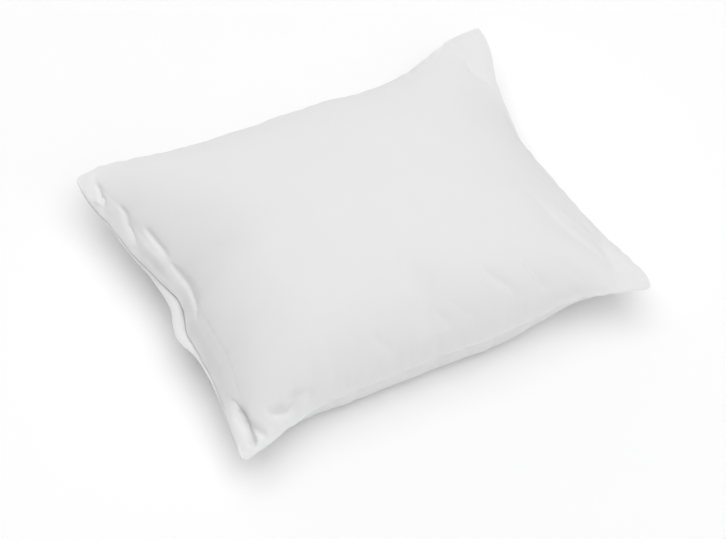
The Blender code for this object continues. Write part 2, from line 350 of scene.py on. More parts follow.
def add_node(tree: bpy.types.NodeTree, kind: str, settings: dict | None = None,
             **links: object) -> bpy.types.Node:
    """Adds a node with its settings, values and links.

    Args:
        tree: The material's node tree.
        kind: The node's type name.
        settings: Properties of the node itself.
        **links: Input sockets by name, with spaces written as underscores, or by number after
            an underscore. An output socket is linked and anything else is a value.

    Returns:
        The new node.
    """
    node = tree.nodes.new(kind)
    for name, value in (settings or {}).items():
        setattr(node, name, value)
    for name, value in links.items():
        key = int(name[1:]) if name[0] == "_" else name.replace("_", " ")
        if isinstance(value, bpy.types.NodeSocket):
            tree.links.new(value, node.inputs[key])
        else:
            node.inputs[key].default_value = value
    return node


def new_material(name: str, **values: object) -> tuple[bpy.types.Material, bpy.types.Node]:
    """Starts a material.

    Args:
        name: The material's name.
        **values: Values of its shader's own sockets, with spaces written as underscores.

    Returns:
        The material and its shader.
    """
    material = bpy.data.materials.new(name)
    material.use_nodes = True
    shader = material.node_tree.nodes["Principled BSDF"]
    for socket, value in values.items():
        shader.inputs[socket.replace("_", " ")].default_value = value
    return material, shader


def add_mesh(name: str, points: Array, faces: Array) -> bpy.types.Object:
    """Adds a mesh object to the scene.

    Args:
        name: The object's name, and its mesh's.
        points: The points, one a row.
        faces: The faces, as rows of four point numbers.

    Returns:
        The new object.
    """
    data = bpy.data.meshes.new(name)
    data.from_pydata(points.tolist(), [], faces.tolist())
    made = bpy.data.objects.new(name, data)
    bpy.context.scene.collection.objects.link(made)
    return made


def direction(azimuth: float, elevation: float) -> Vector:
    """The direction of a place in the sky.

    Args:
        azimuth: Degrees round from +X.
        elevation: Degrees up from the floor.

    Returns:
        The direction, with a length of 1.
    """
    turn, tilt = math.radians(azimuth), math.radians(elevation)
    return Vector((math.cos(turn) * math.cos(tilt), math.sin(turn) * math.cos(tilt),
                   math.sin(tilt)))


def smooth_step(low: float, high: float, value: Array) -> Array:
    """0 below low, 1 above high, and a soft S between them."""
    share = np.clip((value - low) / (high - low), 0.0, 1.0)
    return share * share * (3.0 - 2.0 * share)


def blend(start: Array, end: Array, share: Array) -> Array:
    """A number or vector part of the way from start to end."""
    return start * (1.0 - share) + end * share


def bell(offset: Array, width: float) -> Array:
    """1 at no offset, falling away on both sides over a width."""
    return np.exp(-(offset / width) ** 2)


def fade(distance: Array, reach: Array, power: float) -> Array:
    """1 at no distance, falling away over a reach, the more steeply the higher the power."""
    return np.exp(-(distance / reach) ** power)


def unit(vectors: Array) -> Array:
    """Vectors scaled to a length of 1."""
    return vectors / np.maximum(np.linalg.norm(vectors, axis=-1, keepdims=True), 1e-12)


def smoothed(grid: Array, axis: int) -> Array:
    """Averages each value of a grid with its neighbours.

    Args:
        grid: The values.
        axis: The axis that the neighbours are taken along.

    Returns:
        The calmer values.
    """
    grid = np.moveaxis(grid, axis, 0)
    padded = np.concatenate([grid[:1], grid, grid[-1:]])
    return np.moveaxis((padded[:-2] + 2.0 * grid + padded[2:]) / 4.0, 0, axis)


def read_rows(rows: Sequence[Sequence[float]], share: Array) -> Array:
    """Reads a table at any share, on a smooth curve through its rows.

    Args:
        rows: The table, with the share first in each row.
        share: Where to read it.

    Returns:
        The rows' other values, in a last axis added to share's own.
    """
    table = np.array(rows)
    knots, values = table[:, 0], table[:, 1:]
    here = np.clip(np.searchsorted(knots, share, side="right") - 1, 0, len(knots) - 2)
    there, before, after = here + 1, np.maximum(here - 1, 0), np.minimum(here + 2, len(knots) - 1)
    span = knots[there] - knots[here]
    step = ((share - knots[here]) / span)[..., None]

    def slope(low: Array, high: Array) -> Array:
        """How much the values rise over the span, from the rows around it."""
        return (values[high] - values[low]) * (span / (knots[high] - knots[low]))[..., None]

    slope_here, slope_there = slope(before, there), slope(here, after)
    bend = ((values[there] - values[here]) * (3.0 - 2.0 * step) - slope_here * (2.0 - step)
            - slope_there * (1.0 - step))
    return values[here] + slope_here * step + bend * step * step


def uneven(place: Array, spacing: float, seed: int) -> Array:
    """Soft random values along a line.

    Args:
        place: Distances along the line, in metres.
        spacing: The usual distance between one high and the next low, in metres.
        seed: Picks the values.

    Returns:
        Values from about -1 to 1.
    """
    knots = np.random.default_rng(seed).uniform(-1.0, 1.0, LINE_VALUES)
    position = place / spacing + FIRST_VALUE
    first = np.floor(position).astype(int)
    t = position - first
    a, b, c, d = (knots[(first + i) % LINE_VALUES] for i in range(4))
    return b + 0.5 * t * (c - a + t * (2 * a - 5 * b + 4 * c - d + t * (3 * (b - c) + d - a)))


def wavering(place: Array, layers: Sequence[Wave], seed: int = 0) -> Array:
    """Layers of soft random values along a line, added up, with their seeds moved on."""
    return sum(layer.strength * uneven(place, layer.spacing, seed + layer.seed)
               for layer in layers)


def varying(place: Array, wave: Wave, seed: int) -> Array:
    """A strength along a line that is 1 at most and falls by up to twice the wave's own."""
    return 1.0 - wave.strength + wavering(place, (wave,), seed)


def rumpled(u: Array, v: Array, spacing: float, seed: int) -> Array:
    """Soft random values over a sheet.

    Args:
        u: Distances along the sheet, in metres.
        v: Distances across it, in metres.
        spacing: The distance between the values that it runs through, in metres.
        seed: Picks the values.

    Returns:
        Values from -1 to 1.
    """
    knots = np.random.default_rng(seed).uniform(-1.0, 1.0, (SHEET_VALUES, SHEET_VALUES))
    x, y = u / spacing + FIRST_VALUE, v / spacing + FIRST_VALUE
    i, j = np.floor(x).astype(int), np.floor(y).astype(int)
    a, b = (t * t * t * (t * (t * 6 - 15) + 10) for t in (x - i, y - j))

    def value(right: int, up: int) -> Array:
        """The random value at a corner of the square that each place is in."""
        return knots[(i + right) % SHEET_VALUES, (j + up) % SHEET_VALUES]

    return blend(blend(value(0, 0), value(1, 0), a), blend(value(0, 1), value(1, 1), a), b)


# ---------------------------------------------------------------------------------------------
# The filled case: its smooth form
# ---------------------------------------------------------------------------------------------


@dataclass
class FilledForm:
    """The smooth form that the filling gives the case, before any crease.

    Places on it are shares of the flat cut: along, from the open end to the closed end, and
    across, from the front side to the back side. A flank's power says how squarely the filling
    meets that side: 2 is a long slope and 4 a full shoulder.
    """

    cut_length: float = 0.600
    cut_width: float = 0.500
    crown_rise: float = 0.078
    belly_drop: float = 0.088
    fullness: float = 0.70
    floor_roll: float = 0.010
    cloth_loft: float = 0.012
    cloth_flank: float = 3.8
    cloth_fullness: float = 0.5
    seam_width: float = 0.0003
    filling_softness: float = 0.007
    filling_clear: float = 0.012
    open_flank: float = 3.2
    closed_flank: float = 2.3
    front_flank: float = 6.0
    back_flank: float = 2.4
    edge_radius: float = 0.0008
    open_front: Corner = Corner(-0.290, -0.245, 0.010)
    closed_front: Corner = Corner(0.297, -0.240, 0.009)
    closed_back: Corner = Corner(0.2955, 0.2405, 0.005)
    open_back: Corner = Corner(-0.298, 0.248, 0.007)

    def side_point(self, start: Corner, end: Corner, inward: tuple[float, float], share: Array,
                   drawn_in: Array, height: Array) -> Array:
        """Points on one side of the case, drawn in from the chord between two corners.

        Args:
            start: The corner that the side starts at.
            end: The corner that it ends at.
            inward: Which way is inwards in plan.
            share: Shares of the way along the side.
            drawn_in: How far the cloth's edge is drawn in at each.
            height: The height of each.

        Returns:
            The middle of the rolled edge, with the coordinates in the last axis.
        """
        inside = drawn_in + self.edge_radius
        x = blend(start.x, end.x, share) + inward[0] * inside
        y = blend(start.y, end.y, share) + inward[1] * inside
        return np.stack([x, y, height], axis=-1)

    def seam_point(self, side: Side, share: Array) -> Array:
        """Points of a sewn seam.

        Args:
            side: The side that it is on.
            share: Shares of the way along it, from the open end or from the front.

        Returns:
            Points, with the coordinates in the last axis.
        """
        rows, start, end, inward = {
            Side.FRONT: (FRONT_SEAM, self.open_front, self.closed_front, (0, 1)),
            Side.BACK: (BACK_SEAM, self.open_back, self.closed_back, (0, -1)),
            Side.CLOSED: (CLOSED_SEAM, self.closed_front, self.closed_back, (-1, 0)),
        }[side]
        drawn_in, height = np.moveaxis(read_rows(rows, share), -1, 0)
        return self.side_point(start, end, inward, share, drawn_in, height)

    def lip_point(self, across: Array, panel: Panel) -> Array:
        """The edge of a lip.

        Args:
            across: Shares of the way from the front.
            panel: The panel that the lip belongs to.

        Returns:
            Points, with the coordinates in the last axis.
        """
        values = np.moveaxis(read_rows(OPEN_MOUTH, across), -1, 0)
        drawn_in, height = values[:2] if panel is Panel.FRONT else values[2:]
        return self.side_point(self.open_front, self.open_back, (1, 0), across, drawn_in, height)

    def seam_surface(self, along: Array, across: Array, panel: Panel) -> Array:
        """The surface stretched between the four sides, which each panel starts from.

        Args:
            along: Shares of the cut's length.
            across: Shares of the cut's width.
            panel: Which panel.

        Returns:
            Points, with the coordinates in the last axis.
        """
        zero, one = np.zeros_like(along), np.ones_like(along)
        s, t = along[..., None], across[..., None]
        lengthwise = blend(self.seam_point(Side.FRONT, along),
                           self.seam_point(Side.BACK, along), t)
        crosswise, front_corners, back_corners = (
            blend(self.lip_point(share, panel), self.seam_point(Side.CLOSED, share), s)
            for share in (across, zero, one))
        return lengthwise + crosswise - blend(front_corners, back_corners, t)

    @staticmethod
    def flank(from_low: Array, from_high: Array, low_power: float, high_power: float) -> Array:
        """How full the case is along one direction.

        Args:
            from_low: How far inside the filling each place is, from the first side.
            from_high: The same from the side opposite.
            low_power: How squarely the filling meets the first side.
            high_power: How squarely it meets the other.

        Returns:
            1 in the middle, 0 at both ends.
        """
        half = (from_low + from_high) / 2.0
        low = 1.0 - np.clip(1.0 - from_low / half, 0.0, 1.0) ** low_power
        high = 1.0 - np.clip(1.0 - from_high / half, 0.0, 1.0) ** high_power
        return np.minimum(low, high)

    def into_filling(self, distance: Array, rows: Sequence[FillingRow], share: Array) -> Array:
        """How far inside the filling each place is, with a soft start.

        Args:
            distance: Distances from one side.
            rows: Where the filling stops along that side.
            share: Shares of the way along it.

        Returns:
            Depths in metres, none at the side itself.
        """
        depth = distance - read_rows(rows, share)[..., 0]
        softened = (depth + np.hypot(depth, self.filling_softness)) / 2.0
        return softened * smooth_step(0.0, self.filling_clear, distance)

    def filling(self, along: Array, across: Array) -> Array:
        """How far the filling lifts a panel.

        Args:
            along: Shares of the cut's length.
            across: Shares of the cut's width.

        Returns:
            1 in the middle, 0 at the sides.
        """
        lengthwise = self.flank(
            self.into_filling(along * self.cut_length, OPEN_FILLING, across),
            self.into_filling((1.0 - along) * self.cut_length, CLOSED_FILLING, across),
            self.open_flank, self.closed_flank)
        crosswise = self.flank(
            self.into_filling(across * self.cut_width, FRONT_FILLING, along),
            self.into_filling((1.0 - across) * self.cut_width, BACK_FILLING, along),
            self.front_flank, self.back_flank)
        return (lengthwise * crosswise) ** self.fullness

    def loft(self, along: Array, across: Array) -> Array:
        """How far a panel stands off the seam surface by itself, from the seams inwards.

        Args:
            along: Shares of the cut's length.
            across: Shares of the cut's width.

        Returns:
            Heights in metres.
        """
        full = 1.0
        for share, length in ((along, self.cut_length), (across, self.cut_width)):
            from_low = np.maximum(share * length - self.seam_width, 0.0)
            from_high = np.maximum((1.0 - share) * length - self.seam_width, 0.0)
            full = full * self.flank(from_low, from_high, self.cloth_flank, self.cloth_flank)
        return self.cloth_loft * full ** self.cloth_fullness

    def rest_on_floor(self, height: Array) -> Array:
        """Heights kept at or above the floor, rolling softly onto it."""
        rolling = np.clip(height + self.floor_roll, 0.0, None) ** 2 / (4.0 * self.floor_roll)
        return np.where(height >= self.floor_roll, height, rolling)

    def place(self, along: Array, across: Array, panel: Panel) -> Array:
        """Points of a panel's smooth form, with the back panel resting on the floor.

        Args:
            along: Shares of the cut's length.
            across: Shares of the cut's width.
            panel: Which panel.

        Returns:
            Their places, with the coordinates in the last axis.
        """
        points = self.seam_surface(along, across, panel)
        lifted, loft = self.filling(along, across), self.loft(along, across)
        if panel is Panel.FRONT:
            points[..., 2] += self.edge_radius + self.crown_rise * lifted + loft
        else:
            points[..., 2] -= self.edge_radius + self.belly_drop * lifted + loft
            points[..., 2] = self.rest_on_floor(points[..., 2])
        return points

    def round_tips(self, along: Array, across: Array) -> tuple[Array, Array]:
        """Pulls the cut's square corners in to the radius of each tip.

        Args:
            along: Shares of the cut's length.
            across: Shares of the cut's width.

        Returns:
            Both again, moved inwards near the corners.
        """
        low_end, low_side = along < 0.5, across < 0.5
        open_tip = np.where(low_side, self.open_front.tip_radius, self.open_back.tip_radius)
        closed_tip = np.where(low_side, self.closed_front.tip_radius, self.closed_back.tip_radius)
        radius = np.where(low_end, open_tip, closed_tip)
        from_end = np.where(low_end, along, 1.0 - along) * self.cut_length
        from_side = np.where(low_side, across, 1.0 - across) * self.cut_width
        near = (from_end < radius) & (from_side < radius)
        a, b = 1.0 - from_end / radius, 1.0 - from_side / radius
        rounded_end = radius * (1.0 - a * np.sqrt(np.maximum(1.0 - b * b / 2.0, 0.0)))
        rounded_side = radius * (1.0 - b * np.sqrt(np.maximum(1.0 - a * a / 2.0, 0.0)))
        from_end = np.where(near, rounded_end, from_end) / self.cut_length
        from_side = np.where(near, rounded_side, from_side) / self.cut_width
        return (np.where(low_end, from_end, 1.0 - from_end),
                np.where(low_side, from_side, 1.0 - from_side))


# ---------------------------------------------------------------------------------------------
# Cloth: how the case settles, and what is pressed and sewn into it
# ---------------------------------------------------------------------------------------------


@dataclass
class ClothSettling:
    """A short cloth simulation that lets the case settle over its filling."""

    frames: int = 20
    quality: int = 5
    pressure: float = 4.0
    mass: float = 0.25
    stretch_stiffness: float = 12.0
    shear_stiffness: float = 4.0
    bending_stiffness: float = 0.15
    damping: float = 5.0
    air_damping: float = 6.0
    hold_stiffness: float = 0.6
    slack_inside: float = 0.004
    slack_at_seams: float = 0.030
    furthest: float = 0.007

    def add_cloth(self, cloth: bpy.types.Object) -> None:
        """Adds the simulation to an object with the vertex groups "held" and "slack".

        Args:
            cloth: The object that is to settle.
        """
        modifier = cloth.modifiers.new("settling", "CLOTH")
        settings = modifier.settings
        settings.quality = self.quality
        settings.mass = self.mass
        settings.tension_stiffness = settings.compression_stiffness = self.stretch_stiffness
        settings.shear_stiffness = self.shear_stiffness
        settings.bending_stiffness = self.bending_stiffness
        settings.tension_damping = settings.compression_damping = self.damping
        settings.shear_damping = self.damping
        settings.air_damping = self.air_damping
        settings.use_pressure = True
        settings.uniform_pressure_force = self.pressure
        settings.vertex_group_mass = "held"
        settings.pin_stiffness = self.hold_stiffness
        settings.vertex_group_shrink = "slack"
        settings.shrink_min = -self.slack_inside
        settings.shrink_max = -self.slack_at_seams
        settings.effector_weights.gravity = 0.0
        modifier.collision_settings.use_collision = False
        modifier.point_cache.frame_start = 1
        modifier.point_cache.frame_end = self.frames

    def settle(self, points: Array, faces: Array, held: Array, slack: Array) -> Array:
        """Runs the simulation.

        Args:
            points: The smooth case's points.
            faces: Its faces, each with four point numbers.
            held: How firmly each point is held in place, from 0 to 1.
            slack: How loose the cloth is at each point, from 0 to 1.

        Returns:
            How far each point moved, no further than the furthest that it may.
        """
        cloth = add_mesh("settling_cloth", points, faces)
        for name, weights in (("held", held), ("slack", slack)):
            group, weights = cloth.vertex_groups.new(name=name), np.round(weights, 2)
            for level in np.unique(weights):
                group.add(np.flatnonzero(weights == level).tolist(), float(level), "REPLACE")
        self.add_cloth(cloth)
        scene = bpy.context.scene
        for number in range(1, self.frames + 1):
            scene.frame_set(number)
        evaluated = cloth.evaluated_get(bpy.context.evaluated_depsgraph_get())
        settled = np.empty(len(points) * 3)
        evaluated.data.vertices.foreach_get("co", settled)
        data = cloth.data
        bpy.data.objects.remove(cloth)
        bpy.data.meshes.remove(data)
        scene.frame_set(1)
        moved = settled.reshape(-1, 3) - points
        length = np.linalg.norm(moved, axis=1, keepdims=True)
        LOG.info("cloth settled: moved %.1f mm on average, %.1f mm at most",
                 length.mean() * 1000, length.max() * 1000)
        return moved * self.furthest * np.tanh(length / self.furthest) / np.maximum(length, 1e-9)


@dataclass
class SewnDetail:
    """What sewing and use press into the cloth, on top of a panel's smooth form."""

    form: FilledForm

    # The turned seam stands up as a ridge beside the edge, with a stitched groove behind it.
    seam_ridge: float = 0.0003
    ridge_width: float = 0.0036
    ridge_top: float = 0.00162
    ridge_spread: float = 0.00126
    stitch_groove: float = 0.0005
    groove_width: float = 0.0016
    groove_depths: tuple[float, float] = (0.8, 0.4)

    # The sewn edge wavers up and down, and in and out.
    seam_lift: Wave = Wave(0.0014, 0.0096, 420)
    seam_wander: Wave = Wave(0.0011, 0.012, 410)
    seam_wave_strength: Wave = Wave(0.3, 0.050, 430)
    seam_wave_reach: float = 0.009
    seam_wave_ends: float = 0.03

    # The hem: a stitched groove with short drag lines across it, and a wavering edge.
    hem_width: float = 0.022
    hem_groove: float = 0.0006
    hem_groove_width: float = 0.0014
    hem_drag: Wave = Wave(0.0005, 0.006, 50)
    hem_drag_slant: float = 0.4
    hem_edge: Wave = Wave(0.0007, 0.014, 51)
    hem_reach: float = 0.010

    # The two lips of the mouth.
    lip_wave: float = 0.0016
    lip_parting: float = 0.0007
    lip_wander: float = 0.0012
    lip_slant: float = 0.3
    lip_reach: float = 0.016
    lip_ends: float = 0.06

    # The filling's own unevenness, in wide and in middling rumples.
    rumple_height: float = 0.0004
    wide_rumple: Wave = Wave(1.0, 0.070, 60)
    middling_rumple: Wave = Wave(0.35, 0.030, 61)
    rumple_slant: float = 0.2

    # A crease's line wavers, it is narrower at its tips, and a pinched one has a rounded bottom.
    crease_wander: Wave = Wave(0.12, 0.020, 0)
    crease_tips: float = 0.55
    pinch_slope: float = 1.3
    pinch_rounding: float = 0.2
    path_steps: int = 8

    # How far from the edge each kind of relief has its full height.
    fine_from: float = 0.003
    creased_from: float = 0.008
    rumpled_from: float = 0.05

    def distances(self, along: Array, across: Array) -> dict[Side, Array]:
        """How far each place is from each side of the flat cloth.

        Args:
            along: Shares of the cut's length.
            across: Shares of the cut's width.

        Returns:
            Distances in metres, by the side.
        """
        u, v = along * self.form.cut_length, across * self.form.cut_width
        return {Side.OPEN: u, Side.CLOSED: self.form.cut_length - u,
                Side.FRONT: v, Side.BACK: self.form.cut_width - v}

    def creases(self, along: Array, across: Array, table: Sequence[Crease]) -> Array:
        """How far a table of creases lowers each place."""
        place = np.stack([along * self.form.cut_length, across * self.form.cut_width], axis=-1)
        return sum(self.crease(place, crease, number) for number, crease in enumerate(table))

    def crease(self, place: Array, crease: Crease, seed: int) -> Array:
        """How far one crease lowers each place.

        Args:
            place: Distances from the open end and the front side, in the last axis.
            crease: The crease.
            seed: Picks how its line wavers.

        Returns:
            The depth at each place.
        """
        corners = np.array(crease.path)
        knots = np.linspace(0.0, 1.0, len(corners))
        path = read_rows(np.column_stack([knots, corners]),
                         np.linspace(0.0, 1.0, self.path_steps * len(corners)))
        lengths = np.linalg.norm(np.diff(path, axis=0), axis=1)
        reached = np.concatenate([[0.0], np.cumsum(lengths)]) / lengths.sum()
        nearest, side, travelled = np.ones(place.shape[:-1]), 0.0, 0.0
        for start, end, low, high in zip(path[:-1], path[1:], reached[:-1], reached[1:]):
            run = end - start
            share = np.clip(((place - start) @ run) / (run @ run), 0.0, 1.0)
            gap = place - start - share[..., None] * run
            distance = np.linalg.norm(gap, axis=-1)
            closer = distance < nearest
            side = np.where(closer, np.sign(run[0] * gap[..., 1] - run[1] * gap[..., 0]), side)
            travelled = np.where(closer, blend(low, high, share), travelled)
            nearest = np.where(closer, distance, nearest)
        strength = (smooth_step(0.0, crease.starts_over, travelled)
                    * smooth_step(0.0, crease.ends_over, 1.0 - travelled))
        wander = wavering(travelled * lengths.sum(), (self.crease_wander,), seed)
        offset = nearest * side / crease.half_width + wander
        offset /= blend(self.crease_tips, 1.0, strength) * (1.0 + crease.lean * np.sign(offset))
        rounded = np.hypot(offset, self.pinch_rounding) - self.pinch_rounding
        pinched = np.exp(-self.pinch_slope * rounded)
        return crease.depth * strength * blend(bell(offset, 1.0), pinched, crease.sharpness)

    @staticmethod
    def gather(gathers: Gathers, inward: Array, beside: Array, seed: int) -> tuple[Array, Array]:
        """Waves that run in from one seam.

        Args:
            gathers: What they are like.
            inward: Distances from the seam.
            beside: Distances along it.
            seed: Picks the waves.

        Returns:
            The waves alone, from about -1 to 1, and their heights in metres.
        """
        lean = wavering(beside, (gathers.lean,), seed)
        reaching = wavering(beside, (gathers.reaching,), seed)
        waves = wavering(beside + lean * inward, (gathers.waves,), seed)
        rise = smooth_step(0.0, gathers.grows_over, inward)
        rise *= fade(inward, gathers.reach * (1.0 + reaching), gathers.fading)
        return waves, gathers.height * waves * rise * varying(beside, gathers.strength, seed)

    def seams(self, along: Array, across: Array, seed: int) -> Array:
        """Ridge, stitched groove, puckers and soft folds beside the three sewn sides.

        Args:
            along: Shares of the cut's length.
            across: Shares of the cut's width.
            seed: Picks the puckers.

        Returns:
            Heights in metres.
        """
        distance = self.distances(along, across)
        total = np.zeros_like(along)
        for sewn in SEWN_SIDES:
            inward, beside = distance[sewn.side], distance[sewn.start]
            waves, puckers = self.gather(PUCKERS, inward, beside, seed + sewn.seed)
            _, folds = self.gather(SOFT_FOLDS, inward, beside, seed + sewn.seed)
            ridge = self.seam_ridge * bell(inward - self.ridge_top, self.ridge_spread)
            groove = self.stitch_groove * bell(inward - self.ridge_width, self.groove_width)
            evenly, unevenly = self.groove_depths
            total += ridge - groove * (evenly + unevenly * waves) + puckers + folds
        return total

    def seam_waves(self, along: Array, across: Array) -> Array:
        """How the sewn sides waver where the thread draws both panels up together.

        Args:
            along: Shares of the cut's length.
            across: Shares of the cut's width.

        Returns:
            Moves in metres, the same for both panels, with the coordinates in the last axis.
        """
        distance = self.distances(along, across)
        moves = np.zeros(along.shape + (3,))
        for sewn in SEWN_SIDES:
            beside = distance[sewn.start]
            ends = smooth_step(0.0, self.seam_wave_ends, np.minimum(beside, distance[sewn.end]))
            reached = ends * fade(distance[sewn.side], self.seam_wave_reach, STEADY_FADE)
            reached *= varying(beside, self.seam_wave_strength, sewn.wave_seed)
            wander = wavering(beside, (self.seam_wander,), sewn.wave_seed)
            lift = wavering(beside, (self.seam_lift,), sewn.wave_seed)
            moved = [sewn.inward[0] * wander, sewn.inward[1] * wander, lift]
            moves += np.stack(moved, axis=-1) * reached[..., None]
        return moves

    def hem(self, along: Array, across: Array, seed: int) -> Array:
        """The stitched line of the hem, the drag lines that cross it, and its edge.

        Args:
            along: Shares of the cut's length.
            across: Shares of the cut's width.
            seed: Picks the drag lines.

        Returns:
            Heights in metres.
        """
        distance = self.distances(along, across)
        inward = distance[Side.OPEN] - self.hem_width
        slant = distance[Side.FRONT] + self.hem_drag_slant * distance[Side.OPEN]
        drag = wavering(slant, (self.hem_drag,), seed)
        edge = wavering(distance[Side.FRONT], (self.hem_edge,), seed)
        return (drag * fade(np.abs(inward), self.hem_reach, SOFT_FADE)
                + edge * fade(distance[Side.OPEN], self.hem_reach, STEADY_FADE)
                - self.hem_groove * bell(inward, self.hem_groove_width))

    def lip_waves(self, along: Array, across: Array, panel: Panel) -> Array:
        """How the hem waves at the mouth: both lips together, and a little apart.

        Args:
            along: Shares of the cut's length.
            across: Shares of the cut's width.
            panel: Which panel.

        Returns:
            Moves in metres, with the coordinates in the last axis.
        """
        distance = self.distances(along, across)
        place = distance[Side.FRONT] + self.lip_slant * distance[Side.OPEN]
        ends = np.minimum(distance[Side.FRONT], distance[Side.BACK])
        reached = (smooth_step(0.0, self.lip_ends, ends)
                   * fade(distance[Side.OPEN], self.lip_reach, SOFT_FADE))
        parting = self.lip_parting if panel is Panel.FRONT else -self.lip_parting
        lift = (self.lip_wave * wavering(place, LIPS_TOGETHER)
                + parting * wavering(place, LIPS_APART))
        wander = self.lip_wander * wavering(place, LIP_INWARD[panel])
        return np.stack([wander, np.zeros_like(along), lift], axis=-1) * reached[..., None]

    def rumples(self, along: Array, across: Array, seed: int) -> Array:
        """The faint unevenness of the filling under the cloth.

        Args:
            along: Shares of the cut's length.
            across: Shares of the cut's width.
            seed: Picks the rumples.

        Returns:
            Heights in metres.
        """
        u, v = along * self.form.cut_length, across * self.form.cut_width
        wide, middling = self.wide_rumple, self.middling_rumple
        slanted = u + self.rumple_slant * v
        return self.rumple_height * (
            wide.strength * rumpled(u, v, wide.spacing, seed + wide.seed)
            + middling.strength * rumpled(slanted, v, middling.spacing, seed + middling.seed))

    def relief(self, along: Array, across: Array, panel: Panel) -> Array:
        """The whole height above a panel's smooth form, outwards.

        Args:
            along: Shares of the cut's length.
            across: Shares of the cut's width.
            panel: Which panel.

        Returns:
            Heights in metres, none at the very edge.
        """
        seed = PANEL_SEEDS[panel]
        nearest = np.minimum.reduce(list(self.distances(along, across).values()))
        fine = self.seams(along, across, seed) + self.hem(along, across, seed)
        fine += self.rumples(along, across, seed) * smooth_step(0.0, self.rumpled_from, nearest)
        pressed = self.creases(along, across, CREASES[panel])
        return (fine * smooth_step(0.0, self.fine_from, nearest)
                - pressed * smooth_step(0.0, self.creased_from, nearest))


# ---------------------------------------------------------------------------------------------
# The case itself
# ---------------------------------------------------------------------------------------------


